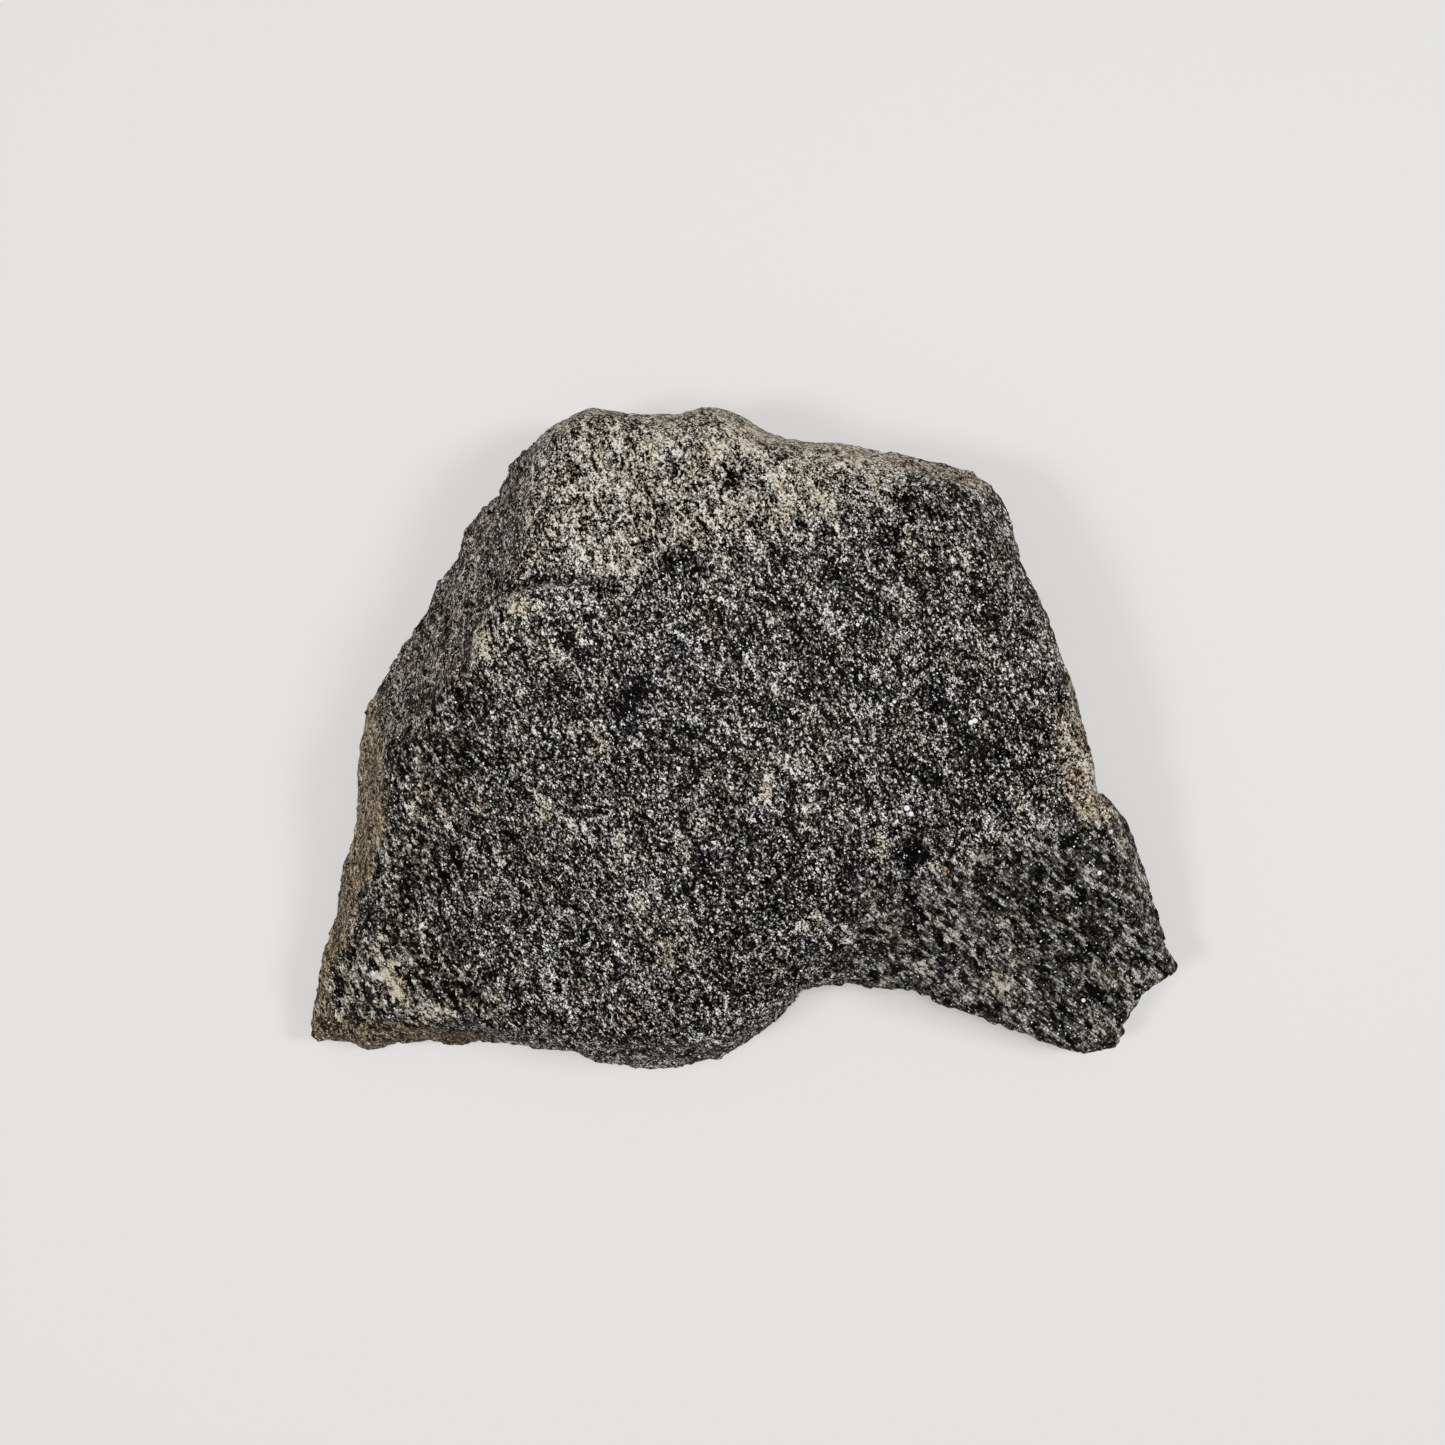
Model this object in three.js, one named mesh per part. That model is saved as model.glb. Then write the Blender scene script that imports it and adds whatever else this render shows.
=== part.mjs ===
// A hand specimen of biotite gneiss: one broken slab of stone, 114 x 85 x 25 mm, lying on its flatter side.
// Millimetres, +Z up. The origin is under the middle of the stone, on the surface that it rests on.
//
// The stone is described as a depth field, which is below zero inside it. Its rim is an outline in plan
// whose walls lean in or out. Its top is the lowest of several break faces, and its underside is the
// highest of several more. A regular grid samples the field, and one vertex in each grid cell that the
// surface crosses makes the mesh.
import * as THREE from "three";
import { ImprovedNoise } from "three/addons/math/ImprovedNoise.js";

const CELL = 2.2; // grid step, and so the size of one facet
const MARGIN = 2 * CELL; // free grid around the stone

// ---- The rim ----------------------------------------------------------------------------------
// Clockwise from the lower left, in stretches that broke or weathered alike. `edge` is the height of the
// stretch's widest line. Above it the wall draws in by `lean` mm for each mm of height, below it by
// `undercut`. `round` is how far the arris between wall and top is worn, and `steps` the height of the
// ledges on the wall.
const RIM = [
  {
    // brown joint face, which leans out towards the foot
    edge: 3, lean: 0.56, undercut: 0.7, round: 1.6, steps: 0.4,
    points: [
      [-57, -38.8], [-56.7, -34.6], [-55.8, -30.4], [-54, -25.6], [-52.6, -17.9],
      [-51.6, -14], [-50.7, -7.5], [-50.3, -1.5], [-49.2, 3.6],
    ],
  },
  {
    // foot of the long flank
    edge: 6, lean: 0.35, undercut: 0.6, round: 2.5, steps: 0.5,
    points: [
      [-47.4, 6.9], [-44.7, 12.3], [-42.6, 15.1], [-39.2, 21], [-37.2, 23.6],
      [-36.3, 26.2], [-34.7, 28.6], [-31.3, 32.3], [-30.4, 35],
    ],
  },
  {
    // weathered back, rounded over
    edge: 9, lean: 0.3, undercut: 0.35, round: 3.5, steps: 0.15,
    points: [
      [-28.8, 36.4], [-24, 39.5], [-19.1, 41.8], [-15.4, 41.6], [-10.5, 41.1], [-7.4, 41.2],
      [-4.4, 42.1], [-1.5, 41.6], [4.9, 38.4], [12, 37.3], [18.5, 36.6], [27.9, 34.2],
    ],
  },
  {
    // worn back corner
    edge: 11, lean: 0.35, undercut: 0.3, round: 4, steps: 0.2,
    points: [[30.6, 32.6], [32.8, 30.2], [33.8, 27.8], [34.5, 25]],
  },
  {
    // fresh break, almost upright and a little undercut
    edge: 14, lean: 0.25, undercut: 0.22, round: 1.6, steps: 0.5,
    points: [
      [34.8, 22], [36.5, 18.4], [40.2, 9.9], [41.5, 5.7],
      [42.9, -1.3], [43.3, -4], [44.6, -6.4],
    ],
  },
  {
    // chamfer left by a flake
    edge: 6, lean: 0.5, undercut: 0.25, round: 1.4, steps: 0.4,
    points: [[47.9, -9], [49.9, -11.8], [51.5, -14.8], [53.4, -20.4]],
  },
  {
    // thin end
    edge: 4, lean: 0.15, undercut: 0.4, round: 1, steps: 0.5,
    points: [
      [55.2, -24.6], [56, -27.6], [57.2, -30.6], [54.7, -31.7], [52.4, -33.3], [51.1, -35.5],
      [49.8, -38], [49.3, -40.4], [47.7, -41.2], [44.7, -41.3], [43, -40.6],
    ],
  },
  {
    // hollow bite in the front
    edge: 7.5, lean: 0.3, undercut: 0.3, round: 1.2, steps: 0.4,
    points: [
      [38.6, -39.5], [33.8, -37.6], [26.8, -34.8], [20.5, -33], [15, -32.3],
      [9.5, -32.5], [7.6, -33.4], [5.4, -35.9], [2.2, -38.2],
    ],
  },
  {
    // bulge beside it
    edge: 8, lean: 0.35, undercut: 0.4, round: 3, steps: 0.3,
    points: [[-2.3, -41.2], [-5.4, -41.8], [-11.9, -42.9], [-18.3, -41.7], [-23.5, -40.4]],
  },
  {
    // brown front face, which leans out as the joint face does
    edge: 2.5, lean: 0.5, undercut: 0.7, round: 1.8, steps: 0.4,
    points: [
      [-26.7, -40.5], [-34.6, -40.6], [-37.4, -41.2], [-39.9, -40.6], [-45.2, -40.9],
      [-47.3, -41.7], [-49.9, -41.8], [-52, -40.7], [-56, -40.5],
    ],
  },
];
const EDGE_WEAR = 1.6; // how far the widest line itself is worn
const RIM_STEPS = 480; // samples along the outline
const RIM_BLEND = 9; // samples on each side over which neighbouring stretches blend

// ---- Break faces ------------------------------------------------------------------------------
// Each face passes through `at` [x, y, z], and z changes by `fall` [per mm of x, per mm of y].
// A face may spare a round lobe of the stone, at whose rim it climbs by `rise` mm for each mm inwards.
const NOSE = { at: [-23, 7.5], radius: 10.8, rise: 2.2 };
const TOP_FACES = [
  { at: [-2.6, 2, 23.5], fall: [-0.1, 0.06] }, // broad middle of the top
  { at: [-22.2, -13.6, 20.3], fall: [0.27, 0.22] }, // falls to the near left corner
  { at: [-23, 8, 25.1], fall: [0.02, -0.06] }, // blunt end of the nose
  { at: [20, -14, 19.8], fall: [-0.23, 0.27] }, // falls to the thin end
  { at: [-23.4, 28.6, 22], fall: [1.25, -0.6] }, // long flank on the left
  { at: [-20, 19, 23.3], fall: [0.13, -0.3], spare: NOSE }, // pale back slope, beside the flank
  { at: [0, 21, 24.6], fall: [-0.06, -0.4] }, // pale back slope, the rest
  { at: [10, 34.5, 18.6], fall: [-0.29, -1.27] }, // rolls over the back edge
  { at: [27, 27.5, 19.8], fall: [-0.6, -0.6] }, // rolls over the back corner
  { at: [37.5, 8, 19], fall: [-0.85, -0.3] }, // rolls over the right edge
  { at: [-12, -37.5, 17.2], fall: [0, 1.2] }, // rolls over the front bulge
];
const TOP_WEAR = 2.2; // how far the arrises between top faces are worn
const WANDER = { size: 15, reach: 1.6 }; // how far the arrises stray sideways

const UNDER_FACES = [
  { at: [24, 8, 0], fall: [0.13, 0.12] }, // lifts towards the back corner
  { at: [0, 24, 0], fall: [0, 0.32] }, // lifts towards the back
  { at: [-32, 0, 0], fall: [-0.12, 0.05] }, // lifts towards the left
  { at: [0, -29, 0], fall: [0.02, -0.16] }, // lifts towards the front
];
const UNDER_WEAR = 1.2;
// The underside's mean height. What would reach below 0 is the flat that the stone rests on.
const UNDER_LEVEL = 0.1;

// Rounded lumps and hollows on the top: middle, half-widths along and across, turn in degrees, height.
const LUMPS = [
  { at: [-21, 21], half: [9, 2.6], turn: 4, height: -0.7 }, // crease behind the nose
  { at: [14.5, -32], half: [13, 7], turn: -8, height: -5.5 }, // scoop above the bite
  { at: [4, -39], half: [7, 4], turn: 40, height: -3.5 }, // slope down to the bite's left side
  { at: [-8, 30], half: [6, 9], turn: 0, height: 0.6 }, // low swell on the pale slope
  { at: [-47, -33], half: [6, 4], turn: -60, height: 0.9 }, // pale near corner
  { at: [26, -16], half: [4, 16], turn: -30, height: 0.5 }, // low spine down to the thin end
];

// ---- Fabric -----------------------------------------------------------------------------------
// The mica lies in parallel layers, the foliation. It runs down to the right in plan, and dips steeply.
// Lumps are longer along it than across it, and broken walls step along it.
const FOLIATION = new THREE.Vector3(0.78, 0.42, 0.46).normalize();
const STRIKE = new THREE.Vector3(0, 0, 1).cross(FOLIATION).normalize();
const DIP = FOLIATION.clone().cross(STRIKE);
const STRETCH = 1.7; // length of a lump over its width
const LEDGE = { pitch: 3.2, drift: 24 };
const ROUGHNESS = [
  { size: 10, height: 0.4 },
  { size: 4.6, height: 0.3 },
];
const UNDER_RELIEF = [
  { size: 23, height: 2.4 },
  { size: 9, height: 0.9 },
];

const noise = new ImprovedNoise();

// A point's places across the foliation, along its strike and down its dip.
function inFabric(x, y, z) {
  return [FOLIATION, STRIKE, DIP].map((axis) => axis.x * x + axis.y * y + axis.z * z);
}

// Noise summed over layers, each with lumps of its own size and height.
function relief(layers, x, y, z) {
  const [across, strike, dip] = inFabric(x, y, z);
  const lump = ({ size, height }) =>
    height * noise.noise(across / size, strike / (size * STRETCH), dip / (size * STRETCH) + size);
  return layers.reduce((sum, layer) => sum + lump(layer), 0);
}

// Ledges on a broken wall: rounded steps that follow the foliation, from -1 to 1.
function ledge(x, y, z) {
  const [across, strike, dip] = inFabric(x, y, z);
  const step = noise.noise(across / LEDGE.pitch, strike / LEDGE.drift, dip / LEDGE.drift);
  return Math.sign(step) * Math.sqrt(Math.abs(step));
}

// The larger of two fields, with the edge where they meet rounded by about `wear`.
function roundedMax(a, b, wear) {
  const overlap = Math.max(wear - Math.abs(a - b), 0) / wear;
  return Math.max(a, b) + (overlap * overlap * wear) / 4;
}

function faceHeight({ at, fall, spare }, x, y) {
  const height = at[2] + fall[0] * (x - at[0]) + fall[1] * (y - at[1]);
  if (!spare) return height;
  return height + spare.rise * Math.max(spare.radius - Math.hypot(x - spare.at[0], y - spare.at[1]), 0);
}

function lumpHeight({ at, half, turn, height }, x, y) {
  const angle = THREE.MathUtils.degToRad(turn);
  const along = (x - at[0]) * Math.cos(angle) + (y - at[1]) * Math.sin(angle);
  const across = (y - at[1]) * Math.cos(angle) - (x - at[0]) * Math.sin(angle);
  return height * Math.exp(-((along / half[0]) ** 2) - (across / half[1]) ** 2);
}

function topHeight(x, y) {
  const strayX = x + WANDER.reach * noise.noise(x / WANDER.size, y / WANDER.size, 3.7);
  const strayY = y + WANDER.reach * noise.noise(x / WANDER.size, y / WANDER.size, 8.1);
  const faces = TOP_FACES.map((face) => -faceHeight(face, strayX, strayY));
  const lowest = -faces.reduce((a, b) => roundedMax(a, b, TOP_WEAR));
  return lowest + LUMPS.reduce((sum, lump) => sum + lumpHeight(lump, x, y), 0);
}

function underHeight(x, y) {
  const faces = UNDER_FACES.map((face) => faceHeight(face, x, y));
  const highest = faces.reduce((a, b) => roundedMax(a, b, UNDER_WEAR), 0);
  return UNDER_LEVEL + highest + relief(UNDER_RELIEF, x, y, 0);
}

// The outline as evenly spaced samples, each with its stretch's wall values blended into its neighbours'.
function makeRim() {
  const corners = RIM.flatMap(({ points, ...wall }) => points.map(([x, y]) => ({ x, y, wall })));
  const curve = new THREE.CatmullRomCurve3(
    corners.map(({ x, y }) => new THREE.Vector3(x, y, 0)),
    true,
    "centripetal",
  );
  curve.arcLengthDivisions = 4 * RIM_STEPS;
  const samples = Array.from({ length: RIM_STEPS }, (_, i) => {
    const t = curve.getUtoTmapping(i / RIM_STEPS);
    const { x, y } = curve.getPoint(t);
    return { x, y, wall: corners[Math.floor(t * corners.length) % corners.length].wall };
  });
  const blended = (i, key) => {
    let sum = 0;
    for (let k = -RIM_BLEND; k <= RIM_BLEND; k++) {
      sum += samples[(i + k + RIM_STEPS) % RIM_STEPS].wall[key];
    }
    return sum / (2 * RIM_BLEND + 1);
  };
  return samples.map(({ x, y }, i) => ({
    x,
    y,
    edge: blended(i, "edge"),
    lean: blended(i, "lean"),
    undercut: blended(i, "undercut"),
    round: blended(i, "round"),
    steps: blended(i, "steps"),
  }));
}

const rim = makeRim();

// Distance from the outline in plan, below zero inside it, and the wall values at its nearest sample.
function nearestRim(x, y) {
  let nearest = Infinity;
  let wall = rim[0];
  let inside = false;
  for (let i = 0; i < RIM_STEPS; i++) {
    const a = rim[i];
    const b = rim[(i + 1) % RIM_STEPS];
    const dx = b.x - a.x;
    const dy = b.y - a.y;
    const along = ((x - a.x) * dx + (y - a.y) * dy) / (dx * dx + dy * dy);
    const t = THREE.MathUtils.clamp(along, 0, 1);
    const gap = Math.hypot(x - a.x - t * dx, y - a.y - t * dy);
    if (gap < nearest) {
      nearest = gap;
      wall = t < 0.5 ? a : b;
    }
    if (a.y > y !== b.y > y && x < a.x + ((y - a.y) * dx) / dy) inside = !inside;
  }
  return { distance: inside ? -nearest : nearest, wall };
}

// What doesn't change with height, worked out once for each column of the grid.
function columnAt(x, y) {
  return { ...nearestRim(x, y), top: topHeight(x, y), under: underHeight(x, y) };
}

function depth(x, y, z, column) {
  const { wall, distance, top, under } = column;
  const rise = z - wall.edge;
  const inset = roundedMax(rise * wall.lean, -rise * wall.undercut, EDGE_WEAR) - EDGE_WEAR / 4;
  const side = distance + inset + wall.steps * ledge(x, y, z);
  const body = roundedMax(roundedMax(side, z - top, wall.round), under - z, UNDER_WEAR);
  return Math.max(body + relief(ROUGHNESS, x, y, z), -z);
}

// ---- Mesh -------------------------------------------------------------------------------------
const SLOPE_STEP = 0.2; // for measuring which way a face looks
const SETTLE_ROUNDS = 24; // small moves that bring a vertex onto the faces which cross its cell
const SETTLE_SHARE = 0.35; // share of the remaining distance in each of them
const FILL_DEPTH = 0.1; // depth given to a sample that is filled in

// The eight corners of a grid cell, and its twelve edges as pairs of corners.
const CORNERS = [0, 1, 2, 3, 4, 5, 6, 7].map((i) => [i & 1, (i >> 1) & 1, i >> 2]);
const EDGES = CORNERS.flatMap((_, a) => [1, 2, 4].filter((bit) => !(a & bit)).map((bit) => [a, a | bit]));

// Samples of the field on a grid around the stone. steps are the strides along x, y and z.
function sampleGrid() {
  const tallest = Math.max(...TOP_FACES.map(({ at }) => at[2]));
  const box = new THREE.Box3().setFromPoints(rim.map(({ x, y }) => new THREE.Vector3(x, y, 0)));
  const high = box.max.setZ(tallest).addScalar(MARGIN);
  // The plane z = 0, on which the stone rests, runs half way up a layer of cells.
  const low = box.min.sub(new THREE.Vector3(MARGIN, MARGIN, 1.5 * CELL));
  const counts = high.clone().sub(low).divideScalar(CELL).ceil().toArray();
  const steps = [1, counts[0], counts[0] * counts[1]];
  const pointAt = (i, j, k) => new THREE.Vector3(i, j, k).multiplyScalar(CELL).add(low);
  const depths = new Float64Array(counts[0] * counts[1] * counts[2]);
  for (let j = 0; j < counts[1]; j++)
    for (let i = 0; i < counts[0]; i++) {
      const { x, y } = pointAt(i, j, 0);
      const column = columnAt(x, y);
      for (let k = 0; k < counts[2]; k++) {
        depths[i * steps[0] + j * steps[1] + k * steps[2]] = depth(x, y, pointAt(i, j, k).z, column);
      }
    }
  return { depths, counts, steps, pointAt };
}

// Where two solid samples meet only across the diagonal of a grid square, the surface would touch itself
// along a seam. The stone is filled in beside them.
function fillDiagonals({ depths, steps }) {
  const [x, y, z] = steps;
  let filled = true;
  while (filled) {
    filled = false;
    for (let at = 0; at + x + y + z < depths.length; at++)
      for (const [u, v] of [[x, y], [x, z], [y, z]]) {
        const [here, across, alongU, alongV] = [at, at + u + v, at + u, at + v].map((i) => depths[i] < 0);
        if (here !== across || alongU !== alongV || here === alongU) continue;
        for (const i of here ? [at + u, at + v] : [at, at + u + v]) {
          depths[i] = -FILL_DEPTH;
        }
        filled = true;
      }
  }
}

function surfaceDirection({ x, y, z }) {
  const at = (px, py, pz) => depth(px, py, pz, columnAt(px, py));
  return new THREE.Vector3(
    at(x + SLOPE_STEP, y, z) - at(x - SLOPE_STEP, y, z),
    at(x, y + SLOPE_STEP, z) - at(x, y - SLOPE_STEP, z),
    at(x, y, z + SLOPE_STEP) - at(x, y, z - SLOPE_STEP),
  ).normalize();
}

// The point of a cell that lies nearest to every face crossing it, so that an arris stays sharp.
function settle(crossings, low) {
  const planes = crossings.map((p) =>
    new THREE.Plane().setFromNormalAndCoplanarPoint(surfaceDirection(p), p),
  );
  const sum = crossings.reduce((total, p) => total.add(p), new THREE.Vector3());
  const vertex = sum.divideScalar(crossings.length);
  for (let round = 0; round < SETTLE_ROUNDS; round++) {
    const pull = new THREE.Vector3();
    for (const plane of planes) {
      pull.addScaledVector(plane.normal, -plane.distanceToPoint(vertex));
    }
    vertex.addScaledVector(pull, SETTLE_SHARE / planes.length);
  }
  const high = low.clone().addScalar(CELL);
  return vertex.clamp(low.setZ(Math.max(low.z, 0)), high);
}

// One vertex in each cell that the surface crosses, found by the index of the cell's lowest corner.
function placeVertices({ depths, counts, steps, pointAt }) {
  const vertices = [];
  const vertexOf = new Map();
  for (let k = 0; k < counts[2] - 1; k++)
    for (let j = 0; j < counts[1] - 1; j++)
      for (let i = 0; i < counts[0] - 1; i++) {
        const cell = i * steps[0] + j * steps[1] + k * steps[2];
        const corner = CORNERS.map(([a, b, c]) => {
          return depths[cell + a * steps[0] + b * steps[1] + c * steps[2]];
        });
        const crossed = EDGES.filter(([a, b]) => corner[a] < 0 !== corner[b] < 0);
        const crossings = crossed.map(([a, b]) => {
          const [from, to] = [CORNERS[a], CORNERS[b]].map((c) => pointAt(i + c[0], j + c[1], k + c[2]));
          return from.lerp(to, corner[a] / (corner[a] - corner[b]));
        });
        if (!crossings.length) continue;
        vertexOf.set(cell, vertices.length);
        vertices.push(settle(crossings, pointAt(i, j, k)));
      }
  return { vertices, vertexOf };
}

// Each grid line that pierces the surface is ringed by four cells, whose vertices make two triangles,
// split along the shorter diagonal.
function ringTriangles({ depths, counts, steps }, { vertices, vertexOf }) {
  const triangles = [];
  for (let k = 1; k < counts[2] - 1; k++)
    for (let j = 1; j < counts[1] - 1; j++)
      for (let i = 1; i < counts[0] - 1; i++)
        for (let axis = 0; axis < 3; axis++) {
          const at = i * steps[0] + j * steps[1] + k * steps[2];
          const inside = depths[at] < 0;
          if (inside === depths[at + steps[axis]] < 0) continue;
          const u = steps[(axis + 1) % 3];
          const v = steps[(axis + 2) % 3];
          const ring = [at - u - v, at - v, at, at - u].map((cell) => vertexOf.get(cell));
          if (!inside) ring.reverse();
          const [a, b, c, d] = ring;
          const first = vertices[a].distanceTo(vertices[c]);
          const second = vertices[b].distanceTo(vertices[d]);
          triangles.push(...(first < second ? [a, b, c, a, c, d] : [a, b, d, b, c, d]));
        }
  return triangles;
}

function makeStone() {
  const grid = sampleGrid();
  fillDiagonals(grid);
  const placed = placeVertices(grid);
  const geometry = new THREE.BufferGeometry().setFromPoints(placed.vertices);
  geometry.setIndex(ringTriangles(grid, placed));
  geometry.computeBoundingBox();
  const middle = geometry.boundingBox.getCenter(new THREE.Vector3());
  geometry.translate(-middle.x, -middle.y, 0);
  geometry.computeVertexNormals();
  return geometry;
}

// ---- The part ---------------------------------------------------------------------------------
const stone = new THREE.Mesh(
  makeStone(),
  new THREE.MeshStandardMaterial({ color: 0x5d5b57, roughness: 0.85, metalness: 0 }),
);
stone.name = "gneiss_stone";

const part = new THREE.Group();
part.add(stone);

export default part;
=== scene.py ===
import math

import bmesh
import bpy
import numpy as np
from mathutils import Euler, Matrix, Vector, noise


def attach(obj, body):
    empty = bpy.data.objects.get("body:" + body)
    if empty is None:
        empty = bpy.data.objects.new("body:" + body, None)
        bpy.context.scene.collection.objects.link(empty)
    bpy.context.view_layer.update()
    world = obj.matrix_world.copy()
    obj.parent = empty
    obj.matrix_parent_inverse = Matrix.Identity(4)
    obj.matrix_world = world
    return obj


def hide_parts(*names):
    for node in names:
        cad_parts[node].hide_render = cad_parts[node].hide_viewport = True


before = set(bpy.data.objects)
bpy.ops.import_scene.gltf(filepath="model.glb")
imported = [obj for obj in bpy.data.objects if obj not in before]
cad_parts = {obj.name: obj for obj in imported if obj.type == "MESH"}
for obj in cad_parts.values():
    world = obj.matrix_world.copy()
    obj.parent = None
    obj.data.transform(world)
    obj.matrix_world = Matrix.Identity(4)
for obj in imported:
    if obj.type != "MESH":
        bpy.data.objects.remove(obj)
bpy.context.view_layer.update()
scene = bpy.context.scene
MM = 0.001

# ---------------------------------------------------------------------------
# The stone. A hand-sized slab of fine biotite gneiss, broken out along joints.
# Black mica and grey to white feldspar and quartz grains lie flattened in one
# plane, so every break shows the same streaks, cut at its own angle.
# ---------------------------------------------------------------------------

# The plane that the grains are flattened in, as the turn of its own axes.
FOLIATION = Vector((0.78, 0.42, 0.46)).normalized()
STREAK = Vector((0.47, -0.88, 0.0)).normalized()
ACROSS = FOLIATION.cross(STREAK)
FABRIC_TURN = Matrix((STREAK, ACROSS, FOLIATION)).transposed().to_euler()


def linear(hex_colour):
    """A colour from its sRGB hex, as the linear values that a shader takes."""
    channels = [int(hex_colour[i:i + 2], 16) / 255 for i in (1, 3, 5)]
    return [c / 12.92 if c <= 0.04045 else ((c + 0.055) / 1.055) ** 2.4 for c in channels] + [1.0]


def add(tree, kind, inputs=None, **settings):
    """Adds a node. Each input is a value, or the socket that is linked to it."""
    made = tree.nodes.new(kind)
    for name, value in settings.items():
        setattr(made, name, value)
    for name, value in (inputs or {}).items():
        if isinstance(value, bpy.types.NodeSocket):
            tree.links.new(value, made.inputs[name])
        else:
            made.inputs[name].default_value = value
    return made


# The solid's triangles are merged to one skin, remade as an even net, and
# eased so that the joins between its flats don't show as creases.
SKIN_STEP = 0.50 * MM
SKIN_EASE = 6

stone = bpy.data.objects.new("gneiss_surface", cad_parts["gneiss_stone"].data.copy())
scene.collection.objects.link(stone)
skin = bmesh.new()
skin.from_mesh(stone.data)
bmesh.ops.remove_doubles(skin, verts=skin.verts, dist=0.001 * MM)
skin.to_mesh(stone.data)
skin.free()
stone.data.materials.clear()

remake = stone.modifiers.new("even net", "REMESH")
remake.mode = "VOXEL"
remake.voxel_size = SKIN_STEP
ease = stone.modifiers.new("eased joins", "SMOOTH")
ease.factor = 0.5
ease.iterations = SKIN_EASE


def settle_modifiers(piece):
    """Makes what the modifiers show the piece's own mesh, and removes them."""
    shown = piece.evaluated_get(bpy.context.evaluated_depsgraph_get())
    mesh = bpy.data.meshes.new_from_object(shown)
    piece.modifiers.clear()
    piece.data = mesh


settle_modifiers(stone)

# Where the stone's faces differ. Each outline is in mm, seen from above, and
# runs past the rim where a face goes on down the side.
ZONES = {
    # The long-exposed back slope: the mica has weathered out of a pale skin.
    "pale_slope": dict(soft=5.0, outline=[
        (-25, 46), (-24.5, 36), (-24.7, 29), (-24, 21.5), (-20, 18.5), (-14.5, 19), (-11, 21.5),
        (-6, 23.5), (0, 24), (6.5, 25), (9, 28), (14, 29), (19, 30), (24, 31.5), (29, 34), (29, 46)]),
    # The upper left flank, along the grain, where the streaks show end-on.
    "flank": dict(soft=4.5, outline=[
        (-24.5, 46), (-24.5, 36), (-24.7, 29), (-25, 21.5), (-29.5, 17), (-32, 12), (-33, 7),
        (-37, 2.5), (-43.5, 0), (-60, 0), (-60, 46)]),
    # The left side, an old joint face stained brown by iron.
    "joint_stain": dict(soft=1.8, outline=[
        (-46.8, 12), (-47.3, 8), (-46.6, 3), (-45.1, -1.5), (-44.6, -6), (-45.5, -11.5), (-47, -16.5), (-49, -22), (-50.3, -26),
        (-52.7, -30), (-54.2, -34), (-53, -36.5), (-60, -38), (-70, -20), (-60, 12)]),
    # Where that stain gives out, up the side.
    "stain_reach": dict(soft=6.0, ragged=4.5, outline=[(-75, 4), (-40, 4), (-40, -50), (-75, -50)]),
    # The same stain along the front edge of the near left corner.
    "front_stain": dict(soft=1.0, outline=[
        (-58, -35.8), (-52, -36.3), (-44, -36.6), (-38, -37.2), (-33, -38.6), (-29, -41), (-29, -44), (-58, -44)]),
    # Where that one gives out, along the front.
    "front_reach": dict(soft=4.0, ragged=3.5, outline=[(-75, -25), (-32.5, -25), (-32.5, -60), (-75, -60)]),
    # The lower half of the joint face, which is made a little darker towards its foot.
    "joint_face_foot": dict(soft=5.0, outline=[(-70, -14), (-44, -12), (-44, -44), (-70, -44)]),
    # The worn back corner, where the pale skin is half gone.
    "back_corner": dict(soft=4.0, outline=[(17, 30), (18, 22), (24, 17), (34, 16), (42, 18), (40, 40), (24, 40)]),
    # A tan patch where the right edge rounds over.
    "tan_edge": dict(soft=1.5, outline=[
        (39.6, 9), (39.4, 5.5), (37.6, 4), (37.2, 0.5), (38.4, -3), (39.4, -5.5), (40.8, -8), (42.6, -11),
        (44.5, -11.5), (48, -8), (46, 9)]),
    # A tan line where the back edge is worn round.
    "worn_rim": dict(soft=1.1, outline=[
        (-24, 41), (-19, 44), (-10, 44), (-4, 45), (5, 41), (12, 40), (18.5, 39), (28, 37), (33, 33),
        (30, 29.5), (26, 31.5), (18, 34), (12, 34.8), (5, 35.5), (-1.5, 38), (-5, 40.4), (-10, 39.5),
        (-19, 40), (-23, 38)]),
    # The near left corner, with the coarsest feldspar.
    "coarse_corner": dict(soft=2.5, outline=[
        (-46.5, -24), (-39, -25), (-33, -30), (-29, -36), (-40, -36), (-53, -36), (-53, -31), (-49, -27)]),
    # Beside the stained joint face, where some of the stain has crept in.
    "beside_stain": dict(soft=3.5, outline=[
        (-45.5, 1), (-40, 5), (-34.5, 8.5), (-30.5, 4), (-33, -4), (-36.5, -12), (-38, -18), (-41, -27),
        (-49, -27), (-46, -16), (-44.5, -9)]),
    # The thin end, where the break runs along the grains.
    "thin_end": dict(soft=6.0, outline=[
        (14, -20), (30, -14), (48, -8), (60, -10), (60, -50), (14, -50)]),
}

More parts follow.
